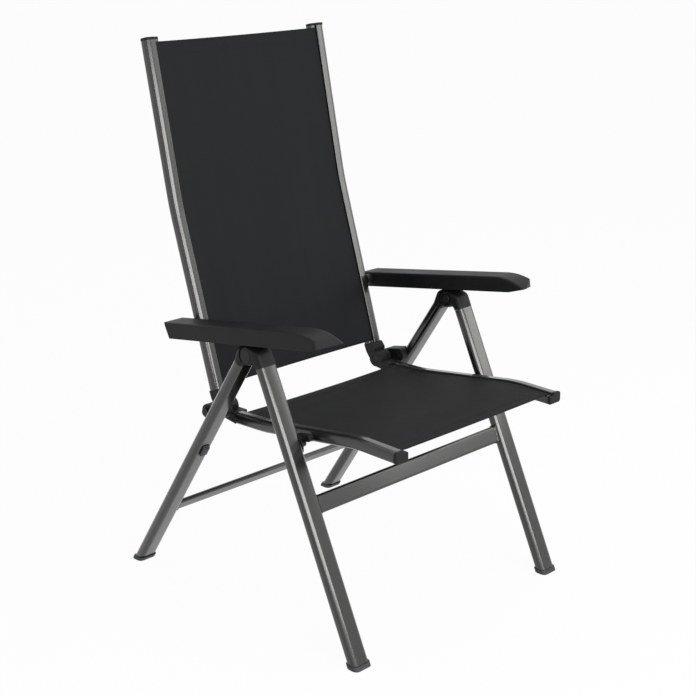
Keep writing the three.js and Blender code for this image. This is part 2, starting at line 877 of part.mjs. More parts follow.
function seatHook() {
  const pin = restPoint();
  const slope = Math.atan2(seatFrontBend.z - seatRearBend.z, seatFrontBend.y - seatRearBend.y);
  const across = { y: saddle.half, z: saddle.half * Math.tan(slope + Math.PI) };
  const lift = restPinRadius + saddle.width / 2 - saddle.depth;
  const block = sidePrism(belt([-1, 1].map((sign) => ({
    back: pin.y + sign * across.y,
    up: pin.z + lift + sign * across.z,
    radius: saddle.width / 2,
  }))), railOuterX + clearance, armInnerX - capEdge / 2, capEdge);
  return cut(block, crossCylinder(saddle.radius, railOuterX - overrun, armInnerX + overrun, pin));
}

function restPoint() {
  const local = rotated(-frontLegOffset, -restReach, frontLegLean);
  return { y: legHinge.y + local.y, z: legHinge.z + local.z };
}

function restPin() {
  const face = legInnerX - clearance;
  const centre = { y: -frontLegOffset, z: -restReach };
  const plate = sidePrism(belt([
    { back: centre.y, up: centre.z, radius: restPlateRadius },
    { back: centre.y, up: centre.z - restPlateTail.drop, radius: restPlateTail.radius },
  ]), face - restPlateThickness, face, capEdge / 2);
  const end = face - restPinLength;
  const pin = turned([
    [end, 0],
    [end, restPinRadius - pinHeadEdge],
    [end + pinHeadEdge, restPinRadius],
    [face - restPlateThickness / 2, restPinRadius],
    [face - restPlateThickness / 2, 0],
  ], centre);
  return join(pin, plate);
}

// Armrests, drawn about their hinge with the front toward -Y

function armProfile(bottom) {
  const tipAngle = Math.PI - Math.asin((bottom + toeLift - armTop + noseRadius) / noseRadius);
  return new THREE.Shape([
    new THREE.Vector2(armRear, armTop),
    ...arc(-noseStart, armTop - noseRadius, noseRadius, Math.PI / 2, tipAngle, 3 * cornerSteps),
    new THREE.Vector2(-toeStart, bottom),
    new THREE.Vector2(armRear - armRearSlant, bottom),
  ]);
}

function armrestPlan() {
  const outerX = armInnerX + armWidth;
  const corner = (x, side, y, radius) => ({ back: x - side * radius, up: y, radius });
  return belt([
    corner(armInnerX, -1, armRear - armRearCorner, armRearCorner),
    corner(outerX, 1, armRear - armRearCorner, armRearCorner),
    corner(armInnerX, -1, armInnerCorner - noseInner, armInnerCorner),
    corner(outerX, 1, armOuterCorner - noseOuter, armOuterCorner),
  ]);
}

function armrestHollow() {
  const ceiling = armTop - armTopWall;
  const outerX = armInnerX + armWidth;
  const room = sidePrism(new THREE.Shape([
    new THREE.Vector2(0, ceiling),
    new THREE.Vector2(-hollowFront, ceiling),
    new THREE.Vector2(-toeStart, armBottom - overrun),
    new THREE.Vector2(0, armBottom - overrun),
  ]), armInnerX + armWall, outerX - armWall);
  const ribs = ribPlaces.map((place) => {
    const rib = new THREE.BoxGeometry(armWidth, ribThickness, armHeight);
    return rib.translate(armInnerX + armWidth / 2, -place, armBottom + ribInset + armHeight / 2);
  });
  return cut(room, ...ribs, crossCylinder(armBossRadius, armInnerX, outerX));
}

function armrestShell() {
  const outerX = armInnerX + armWidth;
  const crown = sidePrism(armProfile(armBottom - 2 * armEdge), armInnerX, outerX, armEdge);
  const plan = uprightPrism(armrestPlan(), armBottom, armTop + overrun);
  const bore = crossCylinder(bushRadius + clearance, armInnerX - overrun, outerX - armBlindWall);
  const block = common(crown, plan, sidePrism(armProfile(armBottom), armInnerX, outerX));
  return cut(block, armrestHollow(), bore);
}

function armrestBush() {
  const end = armInnerX + armWidth - armBlindWall - clearance;
  return ring(bushRadius, armPinRadius + clearance, armInnerX + clearance, end, { y: 0, z: 0 });
}

function armrestPin() {
  const collarEnd = railOuterX - railWall - clearance;
  const end = armInnerX + armWidth - armBlindWall - clearance;
  return turned([
    [collarEnd - armPinCollarLength, 0],
    [collarEnd - armPinCollarLength, armPinCollar],
    [collarEnd, armPinCollar],
    [collarEnd, armPinRadius],
    [railOuterX + clearance, armPinRadius],
    [railOuterX + clearance, armSpacerRadius],
    [armInnerX - clearance, armSpacerRadius],
    [armInnerX - clearance, armPinRadius],
    [end - pinHeadEdge, armPinRadius],
    [end, armPinRadius - pinHeadEdge],
    [end, 0],
  ], armHinge);
}

// The armrest hinge: the point of the back rail's line from which the armrest passes over the leg hinge
function armHingePlace() {
  const [rise, run] = [Math.cos(armrestSlope), -Math.sin(armrestSlope)];
  const start = backFoot.y - backSlope * backFoot.z;
  const drop = run * (legHinge.y - start) + rise * legHinge.z + armPerch - armBottom;
  const z = drop / (rise + backSlope * run);
  return { y: start + backSlope * z, z };
}

// Where the catch meets the armrest, seen from the armrest's hinge, once the back has reclined
function catchAt(recline) {
  const swing = rotated(armHinge.y - seatHinge.y, armHinge.z - seatHinge.z, -recline);
  const hinge = { y: seatHinge.y + swing.y, z: seatHinge.z + swing.z };
  const tip = { y: legHinge.y, z: legHinge.z + catchHeight - catchRadius };
  return inFrame(tip, hinge, armrestSlope - armrestShare * recline);
}

function ratchetRack() {
  const top = armTop - armTopWall - clearance;
  const tips = catchAt(0).z + catchRadius + 2 * clearance;
  const places = Array.from({ length: notchCount }, (_, i) => (
    catchAt(reclineRange * (i / (notchCount - 1))).y
  ));
  const rear = places[0] + notchRadius + rackMargin;
  const front = places[notchCount - 1] - notchRadius - rackMargin;
  const roof = tips + notchDepth - notchRadius;
  const notches = places.flatMap((y) => [
    new THREE.Vector2(y + notchRadius, tips),
    ...arc(y, roof, notchRadius, 0, Math.PI, cornerSteps),
    new THREE.Vector2(y - notchRadius, tips),
  ]);
  const middle = armInnerX + armWidth / 2;
  const teeth = sidePrism(new THREE.Shape([
    new THREE.Vector2(front, top),
    new THREE.Vector2(rear, top),
    new THREE.Vector2(rear, tips),
    ...notches,
    new THREE.Vector2(front, tips),
  ]), middle - rackWidth / 2, middle + rackWidth / 2);
  const flange = new THREE.BoxGeometry(rackFlange, rear - front, rackFlangeThickness);
  flange.translate(middle, (rear + front) / 2, top - rackFlangeThickness / 2);
  return join(teeth, flange);
}

// Assembly

const chair = new THREE.Group();
chair.position.y = originShift;

function frame(origin, lean) {
  const group = new THREE.Group();
  group.position.set(0, origin.y, origin.z);
  group.rotation.x = lean;
  chair.add(group);
  return group;
}

function add(group, name, geometry, finish) {
  const mesh = new THREE.Mesh(geometry, new THREE.MeshStandardMaterial(finish));
  mesh.name = name;
  group.add(mesh);
}

function addPair(group, name, geometry, finish) {
  add(group, `${name}_left`, geometry, finish);
  add(group, `${name}_right`, mirrored(geometry), finish);
}

const rearFrame = frame(legHinge, rearLegLean);
addPair(rearFrame, 'rear_leg', legTube(rearLegOffset, rearLegLean, rearSeam), paintedAlloy);
addPair(rearFrame, 'rear_leg_cap', rearLegCap(), blackPlastic);
addPair(rearFrame, 'rear_foot', foot(rearLegOffset, rearLegLean), blackPlastic);
add(rearFrame, 'rear_crossbar', crossbar(rearBar, barCentre(rearBar, rearLegOffset)), paintedAlloy);
addPair(rearFrame, 'fold_buffer', foldBuffer(), blackPlastic);
addPair(rearFrame, 'pivot_bracket', pivotBracket(), blackPlastic);
addPair(rearFrame, 'leg_hinge_pin', legHingePin(), blackSteel);

const frontFrame = frame(legHinge, frontLegLean);
addPair(frontFrame, 'front_leg', legTube(-frontLegOffset, frontLegLean, frontSeam), paintedAlloy);
addPair(frontFrame, 'leg_elbow', legElbow(), blackPlastic);
addPair(frontFrame, 'front_foot', foot(-frontLegOffset, frontLegLean), blackPlastic);
add(frontFrame, 'front_crossbar', crossbar(frontBar, barCentre(frontBar, -frontLegOffset)), paintedAlloy);
addPair(frontFrame, 'seat_rest_pin', restPin(), blackSteel);

addPair(chair, 'seat_rail', rail(seatLine, seatLength), paintedAlloy);
addPair(chair, 'seat_front_cap', seatFrontCap(), blackPlastic);
addPair(chair, 'seat_knuckle', seatKnuckle(), blackPlastic);
addPair(chair, 'seat_hook', seatHook(), blackPlastic);
add(chair, 'seat_sling', sling(seatLine, seatLength), wovenSling);
add(chair, 'seat_front_stretcher', railStretcher(seatLine(), frontStretcherAt, seatBow), paintedAlloy);
add(chair, 'seat_rear_stretcher', railStretcher(seatLine(), rearStretcherAt, seatBow), paintedAlloy);

addPair(chair, 'seat_hinge_pin', seatHingePin(), blackSteel);
addPair(chair, 'seat_hinge_spacer', seatHingeSpacer(), blackPlastic);

addPair(chair, 'back_rail', backRail(), paintedAlloy);
addPair(chair, 'back_top_cap', backTopCap(), blackPlastic);
addPair(chair, 'back_knuckle', backKnuckle(), blackPlastic);
add(chair, 'back_sling', sling(backLine, backLength), wovenSling);
add(chair, 'back_lower_stretcher', railStretcher(backLine(), lowerStretcherAt, backBow), paintedAlloy);
add(chair, 'back_upper_stretcher', railStretcher(backLine(), upperStretcherAt, backBow), paintedAlloy);

addPair(chair, 'armrest_pin', armrestPin(), blackSteel);

const armrests = frame(armHinge, armrestSlope);
addPair(armrests, 'armrest_shell', armrestShell(), blackPlastic);
addPair(armrests, 'armrest_bush', armrestBush(), blackPlastic);
addPair(armrests, 'ratchet_rack', ratchetRack(), blackPlastic);

export default chair;
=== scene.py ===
"""Looks of the folding patio chair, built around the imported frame.

Sizes are in millimetres, as in the frame's source, and turn into metres when a mesh is made.
The seat faces -Y, +Z is up, and left is the sitter's left (+X).
"""

import math
import random

import bpy
import bmesh
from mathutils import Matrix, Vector

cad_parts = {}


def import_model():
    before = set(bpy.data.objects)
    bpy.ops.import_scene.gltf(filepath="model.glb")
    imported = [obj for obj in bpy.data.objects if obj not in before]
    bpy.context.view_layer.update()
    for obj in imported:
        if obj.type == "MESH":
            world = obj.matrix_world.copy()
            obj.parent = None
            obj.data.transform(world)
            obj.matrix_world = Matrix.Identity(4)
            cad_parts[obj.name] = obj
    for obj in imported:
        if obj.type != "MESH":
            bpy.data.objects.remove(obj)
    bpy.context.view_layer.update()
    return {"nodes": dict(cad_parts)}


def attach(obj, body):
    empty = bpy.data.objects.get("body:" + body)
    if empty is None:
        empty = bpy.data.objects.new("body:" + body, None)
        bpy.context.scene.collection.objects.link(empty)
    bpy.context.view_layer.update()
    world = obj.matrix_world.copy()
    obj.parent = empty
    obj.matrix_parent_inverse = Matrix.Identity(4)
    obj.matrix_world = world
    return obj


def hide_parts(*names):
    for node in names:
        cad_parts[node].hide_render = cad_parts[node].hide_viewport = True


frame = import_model()

MM = 0.001
SHIFT = 5.0  # the side view's origin lies this far behind the chair's middle
FIT = 0.3  # gap between pieces that touch or turn on each other

# Camera

CAMERA_PLACE = (-1.9246, -1.9319, 1.3455)
CAMERA_TURN = (72.35, 0.0, -44.89)
CAMERA_LENS = 74.37
SENSOR = 36.0

camera_data = bpy.data.cameras.new("camera")
camera_data.sensor_width = SENSOR
camera_data.lens = CAMERA_LENS
camera = bpy.data.objects.new("camera", camera_data)
camera.location = CAMERA_PLACE
camera.rotation_euler = [math.radians(a) for a in CAMERA_TURN]
bpy.context.scene.collection.objects.link(camera)
bpy.context.scene.camera = camera
bpy.context.scene.view_settings.view_transform = "Standard"


# Meshes


def shade(bm, sharp):
    """Smooth shading, except across edges sharper than the angle in degrees."""
    limit = math.radians(sharp)
    for face in bm.faces:
        face.smooth = True
    for edge in bm.edges:
        edge.smooth = len(edge.link_faces) != 2 or edge.calc_face_angle(0.0) < limit


def new_object(name, bm, sharp=35.0):
    """A mesh object from a bmesh in millimetres."""
    bmesh.ops.recalc_face_normals(bm, faces=bm.faces)
    shade(bm, sharp)
    for vert in bm.verts:
        vert.co = vert.co * MM
    mesh = bpy.data.meshes.new(name)
    bm.to_mesh(mesh)
    bm.free()
    obj = bpy.data.objects.new(name, mesh)
    bpy.context.scene.collection.objects.link(obj)
    return obj


def bridge(bm, lower, upper):
    """Quads between two closed rings of vertices."""
    for a, b, c, d in zip(lower, lower[1:] + lower[:1], upper[1:] + upper[:1], upper):
        bm.faces.new((a, b, c, d))


def skin(bm, rings):
    """Quads between closed rings of points, and a face over each end."""
    rows = [[bm.verts.new(p) for p in ring] for ring in rings]
    for lower, upper in zip(rows, rows[1:]):
        bridge(bm, lower, upper)
    bm.faces.new(rows[0][::-1])
    bm.faces.new(rows[-1])


# Rail lines


def rotated(v, angle):
    c, s = math.cos(angle), math.sin(angle)
    return Vector((v.x * c - v.y * s, v.x * s + v.y * c))


def bend(corner, into, away, radius):
    """A round bend between two headings: its start, its centre, its turn and its setback from the corner."""
    turn = math.atan2(into.x * away.y - into.y * away.x, into.dot(away))
    setback = radius * math.tan(abs(turn) / 2)
    start = corner - into * setback
    centre = start + Vector((-into.y, into.x)) * math.copysign(1.0, turn) * radius
    return start, centre, turn, setback


class RailLine:
    """A side-view line of straight runs joined by round bends, read by its length in millimetres."""

    def __init__(self, corners, radii):
        self.runs = []
        self.total = 0.0
        start = Vector(corners[0])
        for radius, corner, after in zip(radii, corners[1:], corners[2:]):
            start = self.add_bend(start, Vector(corner), Vector(after), radius)
        self.add_run(start, Vector(corners[-1]))

    def add_run(self, start, end):
        heading = (end - start).normalized()
        self.runs.append((self.total, lambda d: (start + heading * d, heading)))
        self.total += (end - start).length

    def add_bend(self, start, corner, after, radius):
        before = (corner - start).normalized()
        beyond = (after - corner).normalized()
        first, centre, turn, setback = bend(corner, before, beyond, radius)
        self.add_run(start, first)

        def place(d):
            angle = math.copysign(1.0, turn) * d / radius
            return centre + rotated(first - centre, angle), rotated(before, angle)

        self.runs.append((self.total, place))
        self.total += radius * abs(turn)
        return corner + beyond * setback

    def at(self, length):
        found = self.runs[0]
        for run in self.runs:
            if run[0] <= length:
                found = run
        return found[1](length - found[0])

    def point(self, x, length, height):
        """A point x across the chair, at a length of the line, and height above it on the sitter's side."""
        place, heading = self.at(length)
        return Vector((x, place.x - heading.y * height + SHIFT, place.y + heading.x * height))


BACK = RailLine([(137, 411), (246.4, 760), (313.7, 1073)], [600])
SEAT = RailLine([(-351, 406.5), (-256, 407.5), (-10, 373), (71, 369.5)], [350, 350])

RAIL_DEPTH = 22.0
LOBE_STEP = 4.5
GROOVE_X = 211.8
GROOVE_DEPTH = 10.0
BEAD_RADIUS = 2.8
BEAD_LEVEL = RAIL_DEPTH / 2 - GROOVE_DEPTH

# Slings

CLOTH = 1.2  # thickness of the woven sheet
CLOTH_LEVEL = RAIL_DEPTH / 2 - LOBE_STEP + FIT + CLOTH / 2
HEM_INSET = 5.0
HEM_WIDTH = 26.0
HEM_RISE = (0.1, 0.8)  # how far the folded hem stands out above and below the sheet
HEM_EDGE = (0.95, 0.1)  # where its inner edge starts to fall off and over what share of its width
HEM_STOP, HEM_FADE = 12.0, 4.0  # the hem ends this far from the groove, and thins out over this width
HEM_ROWS = (0.0, 0.25, 0.5, 0.75, 0.93, 1.0, 1.07)  # rows of the mesh, in hem widths from the end
EDGE_BEND = 1.6  # radius at which the sheet turns down into the groove
SHEET_COLUMNS, SHEET_ROWS = 64, 70
SAG_SHARES = (0.55, 0.45)  # share of the sag at each end of a sling, and what its middle adds
DRAW_REACH = 0.28  # share of the length over which an end's inward curve fades
WAVES = ((0.006, 0.02), (0.004, 0.012), (0.0, 6.28))  # ranges of the ripples: across, along, phase
WAVE_COUNT = 6
WAVE_HEIGHT = 0.12


def across(columns):
    """Places across a sling from groove to groove: (x, rise over the sheet, slope of the sheet)."""
    corner = GROOVE_X - EDGE_BEND
    steps = 4
    side = [(GROOVE_X, BEAD_LEVEL - CLOTH_LEVEL, math.pi / 2)]
    for i in range(steps):
        angle = math.pi / 2 * (1 - i / steps)
        side.append((corner + EDGE_BEND * math.sin(angle), -EDGE_BEND * (1 - math.cos(angle)), angle))
    middle = [(corner * (1 - 2 * i / columns), 0.0, 0.0) for i in range(columns + 1)]
    return side + middle + [(-x, rise, -slope) for x, rise, slope in reversed(side)]


def smooth_step(t):
    t = min(1.0, max(0.0, t))
    return t * t * (3 - 2 * t)


def sling_sheet(name, line, sag, draw, seed):
    """The woven sheet: it dips between the rails, its ends are drawn in, and each end is hemmed."""
    rng = random.Random(seed)
    waves = [[rng.uniform(*limits) for limits in WAVES] for _ in range(WAVE_COUNT)]
    places = across(SHEET_COLUMNS)
    start, end = HEM_INSET, line.total - HEM_INSET
    span = end - start
    ends = [HEM_WIDTH * t for t in HEM_ROWS]
    inner = [ends[-1] + (span - 2 * ends[-1]) * i / SHEET_ROWS for i in range(1, SHEET_ROWS)]
    rows = ends + inner + [span - e for e in reversed(ends)]

    def layers(x, rise, slope, along, lift=0.0):
        """Points on the sheet's upper and lower face, and on the lip of its end."""
        share = min(1.0, abs(x) / GROOVE_X)
        bow = 1 - share * share
        pull = draw * bow * (1 - 2 * along / span)
        near = min(along, span - along)
        fade = math.exp(-((near / (DRAW_REACH * span)) ** 2))
        s = start + along + pull * fade
        hem = 1 - smooth_step((near - HEM_WIDTH * HEM_EDGE[0]) / (HEM_WIDTH * HEM_EDGE[1]))
        hem *= 1 - smooth_step((abs(x) - (GROOVE_X - HEM_STOP)) / HEM_FADE)
        ripple = sum(math.sin(a * x + b * along + c) for a, b, c in waves) * WAVE_HEIGHT * bow
        sagging = SAG_SHARES[0] + SAG_SHARES[1] * math.sin(math.pi * along / span)
        dip = -sag * bow * sagging + ripple
        level = CLOTH_LEVEL + rise + dip + lift
        half = CLOTH / 2
        up, down = (half + fold * hem for fold in HEM_RISE)
        over, out = math.cos(slope), math.sin(slope)
        return (
            line.point(x + up * out, s, level + up * over),
            line.point(x - down * out, s, level - down * over),
            line.point(x, s - math.copysign(half, span / 2 - along), level),
        )

    bm = bmesh.new()
    tops, bottoms, lips = [], [], {}
    for k, along in enumerate(rows):
        found = [layers(x, rise, slope, along) for x, rise, slope in places]
        tops.append([bm.verts.new(f[0]) for f in found])
        bottoms.append([bm.verts.new(f[1]) for f in found])
        if k in (0, len(rows) - 1):
            lips[k] = [bm.verts.new(f[2]) for f in found]
    width = len(places)
    for a, b, c, d in zip(tops, tops[1:], bottoms, bottoms[1:]):
        for i in range(width - 1):
            bm.faces.new((a[i], a[i + 1], b[i + 1], b[i]))
            bm.faces.new((c[i], d[i], d[i + 1], c[i + 1]))
        for i in (0, width - 1):
            bm.faces.new((a[i], b[i], d[i], c[i]))
    for k, lip in lips.items():
        for i in range(width - 1):
            bm.faces.new((tops[k][i], tops[k][i + 1], lip[i + 1], lip[i]))
            bm.faces.new((lip[i], lip[i + 1], bottoms[k][i + 1], bottoms[k][i]))
        for i in (0, width - 1):
            bm.faces.new((tops[k][i], lip[i], bottoms[k][i]))
    sheet = new_object(name, bm, sharp=60)

    def surface(x, along, lift):
        return layers(x, 0.0, 0.0, along, lift)[0]

    return sheet, surface, span


def tube(bm, points, radius, sides):
    """A round tube through points, closed at both ends."""
    rings = []
    for i, p in enumerate(points):
        before = points[max(i - 1, 0)]
        after = points[min(i + 1, len(points) - 1)]
        along = (after - before).normalized()
        out = along.orthogonal().normalized() if abs(along.x) > 0.9 else Vector((1, 0, 0))
        other = along.cross(out).normalized()
        out = other.cross(along).normalized()
        ring = []
        for k in range(sides):
            angle = 2 * math.pi * k / sides
            ring.append(p + out * radius * math.cos(angle) + other * radius * math.sin(angle))
        rings.append(ring)
    skin(bm, rings)


def sling_beads(name, line):
    """The cords in the sheet's edges, which hold it in the rails' grooves."""
    bm = bmesh.new()
    steps = 60
    start, end = HEM_INSET, line.total - HEM_INSET
    for side in (-1, 1):
        lengths = [start + (end - start) * i / steps for i in range(steps + 1)]
        tube(bm, [line.point(side * GROOVE_X, s, BEAD_LEVEL) for s in lengths], BEAD_RADIUS, 10)
    return new_object(name, bm, sharp=50)


STITCH_PITCH = 4.2
STITCH_LENGTH = 3.1
STITCH_REACH = 198.0  # from the middle of the sling
STITCH_MARGINS = (5.5, 3.0)  # from the hem's inner edge to each row
STITCH_ARC = ((-0.5, -0.3), (-0.3, 0.04), (0.0, 0.1), (0.3, 0.04), (0.5, -0.3))  # share of length, lift
THREAD = 0.28


def stitch_rows(name, surface, span):
    """Two rows of lock stitches along each hem, laid on the sheet."""
    bm = bmesh.new()
    count = int(2 * STITCH_REACH / STITCH_PITCH)
    for margin in STITCH_MARGINS:
        inset = HEM_WIDTH - margin
        for along in (inset, span - inset):
            for i in range(count):
                x = -STITCH_REACH + STITCH_PITCH * (i + 0.5)
                points = [surface(x + STITCH_LENGTH * t, along, lift) for t, lift in STITCH_ARC]
                tube(bm, points, THREAD, 5)
    return new_object(name, bm, sharp=70)


# Metalwork

LEG_HINGE = (-37.0, 535.0)
LEG_X = 275.0  # middle of a leg
LEG_SIZE = (40.0, 23.0)
LEG_CORNER = 8.6
LEG_CROWN = 1.0  # how far the leg's broad faces bulge
SIDE_CROWN = 0.5
LEG_STATIONS = [-500.0 + 45 * i for i in range(10)]  # along a leg, from the hinge
WALL = 1.6
FOOT_HEIGHT = 8.0
LEGS = {  # lean in degrees, and the seam between the tube and its moulding, below the hinge
    "front_leg": {"body": "front_frame", "offset": -20.9, "lean": -25.0, "seam": 29.5},
    "rear_leg": {"body": "rear_frame", "offset": 12.6, "lean": 33.5, "seam": 31.5},
}
BARS = {
    "front_crossbar": {
        "leg": "front_leg", "reach": 298.0, "size": (12.0, 35.0), "corner": 4.5, "setback": 7.5,
    },
    "rear_crossbar": {
        "leg": "rear_leg", "reach": 480.0, "size": (10.0, 25.0), "corner": 4.0, "setback": 6.5,
    },
}
FLANGE = (2.0, 2.2)  # thickness and rim of the plate at each end of a crossbar
RAIL_X = (201.0, GROOVE_X, 234.0)  # inner face, sling groove and outer face of a rail
RAIL_CORNERS = (1.6, 10.0, 6.0, 3.0, 3.0, 0.8)  # radii, from the groove round by the outer face
RAIL_STEPS = 56
HOLLOW_CORNER = 3.4
GROOVE_RADIUS = 3.6
SLIT_WIDTH = 2.4


def rounded(corners, steps=8, hold=0.35):
    """A closed outline with round corners, given as (x, y, radius), flat right up to each corner."""
    points = []
    count = len(corners)
    for i, (x, y, radius) in enumerate(corners):
        corner = Vector((x, y))
        into = (corner - Vector(corners[i - 1][:2])).normalized()
        away = (Vector(corners[(i + 1) % count][:2]) - corner).normalized()
        start, centre, turn, setback = bend(corner, into, away, radius)
        points.append(start - into * hold)
        points += [centre + rotated(start - centre, turn * k / steps) for k in range(steps + 1)]
        points.append(corner + away * (setback + hold))
    return points


def rounded_box(width, height, radius, shift=(0.0, 0.0), steps=8):
    w, h = width / 2, height / 2
    points = rounded([(-w, -h, radius), (w, -h, radius), (w, h, radius), (-w, h, radius)], steps)
    return [point + Vector(shift) for point in points]


def leg_outline(margin=0.0):
    """The leg's section: slightly crowned faces that roll over into wide corners."""
    width, depth = (size - 2 * margin for size in LEG_SIZE)
    points = rounded_box(width, depth, LEG_CORNER - margin)
    half_x, half_y = width / 2, depth / 2
    return [
        Vector((
            p.x - SIDE_CROWN * p.x / half_x * (p.y / half_y) ** 2,
            p.y - LEG_CROWN * p.y / half_y * (p.x / half_x) ** 2,
        ))
        for p in points
    ]


def sweep(bm, loops, stations, place):
    """A hollow or solid bar: each outline, run through the stations, and a flat face on each end."""
    ends = [[], []]
    for loop in loops:
        rings = [[bm.verts.new(place(p.x, p.y, s)) for p in loop] for s in stations]
        for lower, upper in zip(rings, rings[1:]):
            bridge(bm, lower, upper)
        for end, ring in zip(ends, (rings[0], rings[-1])):
            end += [bm.edges.get((a, b)) for a, b in zip(ring, ring[1:] + ring[:1])]
    for end in ends:
        bmesh.ops.triangle_fill(bm, use_beauty=True, edges=end)


def leg_place(leg):
    """Turns a point of a leg's own frame (x, back, up) into the chair's."""
    lean = math.radians(leg["lean"])
    c, s = math.cos(lean), math.sin(lean)
    y0, z0 = LEG_HINGE
    return lambda x, y, z: Vector((x, y0 + y * c - z * s + SHIFT, z0 + y * s + z * c))


def leg_tube(name, leg, side):
    """A leg's hollow tube; its lower end is level, and there the station is None."""
    lean = math.radians(leg["lean"])
    put = leg_place(leg)

    def place(u, v, up):
        y = v + leg["offset"]
        if up is None:
            up = (FOOT_HEIGHT + FIT - LEG_HINGE[1] - y * math.sin(lean)) / math.cos(lean)
        return put(side * (LEG_X + u), y, up)

    bm = bmesh.new()
    sweep(bm, [leg_outline(), leg_outline(WALL)], [None] + LEG_STATIONS + [-leg["seam"]], place)
    return new_object(name, bm)


def boolean(obj, other, operation="DIFFERENCE"):
    """Cuts or joins another solid, which is then removed."""
    step = obj.modifiers.new("step", "BOOLEAN")
    step.operation = operation
    step.solver = "EXACT"
    step.object = other
    bpy.context.view_layer.update()
    made = bpy.data.meshes.new_from_object(obj.evaluated_get(bpy.context.evaluated_depsgraph_get()))
    obj.modifiers.remove(step)
    old = obj.data
    obj.data = made
    bpy.data.meshes.remove(old)
    bpy.data.objects.remove(other)


def reshade(obj, sharp):
    """Clears what a cut leaves behind and shades the mesh again."""
    bm = bmesh.new()
    bm.from_mesh(obj.data)
    bmesh.ops.dissolve_degenerate(bm, dist=1e-6, edges=bm.edges)
    shade(bm, sharp)
    bm.to_mesh(obj.data)
    bm.free()


def turn_on(centre, radius, start, end, steps):
    """Points on a circle from one angle to another."""
    return [
        Vector((centre[0] + radius * math.cos(a), centre[1] + radius * math.sin(a)))
        for a in (start + (end - start) * i / steps for i in range(steps + 1))
    ]


def tangent_angle(a, b):
    """The angle at which two circles (y, z, radius) share an outer tangent, on the left of a to b."""
    across = Vector((b[0] - a[0], b[1] - a[1]))
    return math.atan2(across.y, across.x) + math.acos((a[2] - b[2]) / across.length)


BELT_STEPS = 28


def belt(a, b):
    """The outline, taken clockwise, of a belt round two circles (y, z, radius)."""
    one, two = tangent_angle(a, b), tangent_angle(b, a)
    points = []
    for circle, start, end in ((b, one, two), (a, two, one)):
        end = start - (start - end) % (2 * math.pi)
        points += turn_on(circle, circle[2], start, end, BELT_STEPS)
    return points


HUB = 19.5  # radius of the elbow round the leg hinge
HUB_DRAW = 3.0  # the most by which an inset draws in the hub and the elbow's back edge
HUB_END = 0.18  # angle by which the hub's arc stops short of the back edge
THROAT = (5.0, 0.6)  # drop from there to the straight back edge, and to the bend's control point
SHOULDER = (-17.4, -8.0, 15.0)  # where the elbow turns from the leg to the hinge: back, up, radius
REAR_SHOULDER = (13.0, -9.0, 15.5)
TONGUE = 13.4  # width of the rear cap's tongue
SLOT_RADIUS = 25.0  # of the elbow's slot, which takes the tongue
PIN_HEAD = (12.5, 2.2)  # radius and depth of the recess round a hinge pin's head
CATCH = (9.0, 20.5, 3.5)  # root radius, reach and tip radius of the catch on the rear leg
CAP_FLARE = 3.0  # how far below its edge the cap starts to narrow
TONGUE_INSET = 1.0
TONGUE_SLACK, CATCH_SLACK = 0.02, 0.04  # keep joined faces out of one plane
OVERRUN = 5.0  # how far a cutter passes the leg's side
MOULDING_SHARP = 32.0
RIM_SHARES = (0.0, 0.3, 0.57, 0.66, 0.74, 0.81, 0.87, 0.915, 0.95, 0.975, 0.99, 1.0)  # across half a leg


def elbow_outline(inset):
    """Side view of the elbow on top of a front leg, in the leg's frame, drawn in by an inset."""
    leg = LEGS["front_leg"]
    half = LEG_SIZE[1] / 2 - inset
    bottom = FIT - leg["seam"]
    less = HUB_DRAW * (1 - math.exp(-inset / HUB_DRAW))
    shoulder = (SHOULDER[0], SHOULDER[1], SHOULDER[2] - inset)
    hub = (0.0, 0.0, HUB - less)
    turn = tangent_angle(shoulder, hub)
    rear = leg["offset"] + LEG_SIZE[1] / 2 - less
    last = HUB_END - math.acos(rear / hub[2])
    points = [Vector((leg["offset"] - half, bottom))]
    points += turn_on(shoulder, shoulder[2], math.pi, turn, 14)
    points += turn_on(hub, hub[2], turn, last, 40)
    join = Vector((hub[2] * math.cos(last), hub[2] * math.sin(last)))
    low = Vector((rear, join.y - THROAT[0]))
    middle = Vector((rear, join.y - THROAT[1]))
    for t in (0.25, 0.5, 0.75):
        points.append(join.lerp(middle, t).lerp(middle.lerp(low, t), t))
    return points + [low, Vector((leg["offset"] + half, bottom))]


def cap_outline(inset):
    """Side view of the cap on top of a rear leg, before the hinge's room is cut from it."""
    leg = LEGS["rear_leg"]
    bottom = FIT - leg["seam"]
    half = LEG_SIZE[1] / 2 - inset
    shoulder = (REAR_SHOULDER[0], REAR_SHOULDER[1], REAR_SHOULDER[2] - inset)
    foot = (leg["offset"], bottom - CAP_FLARE, half)
    turn = tangent_angle(foot, shoulder)
    mirror = 2 * math.atan2(shoulder[1] - foot[1], shoulder[0] - foot[0]) - turn
    points = [Vector((leg["offset"] - half, bottom))]
    points += turn_on(shoulder, shoulder[2], turn, mirror, 40)
    return points + [Vector((leg["offset"] + half, bottom))]


def cheeks(outline, name, leg, side):
    """A block as wide as the leg, whose rims roll over as the leg's own corners do."""
    half = LEG_SIZE[0] / 2
    places = sorted({s * share for s in (-1, 1) for share in RIM_SHARES})
    put = leg_place(leg)
    rings = []
    for share in places:
        past = min(LEG_CORNER, max(0.0, abs(share) * half - (half - LEG_CORNER)))
        inset = LEG_CORNER - math.sqrt(LEG_CORNER**2 - past**2) + LEG_CROWN * share**2
        rings.append([put(side * (LEG_X + share * half), p.x, p.y) for p in outline(inset)])
    bm = bmesh.new()
    skin(bm, rings)
    return new_object(name, bm)


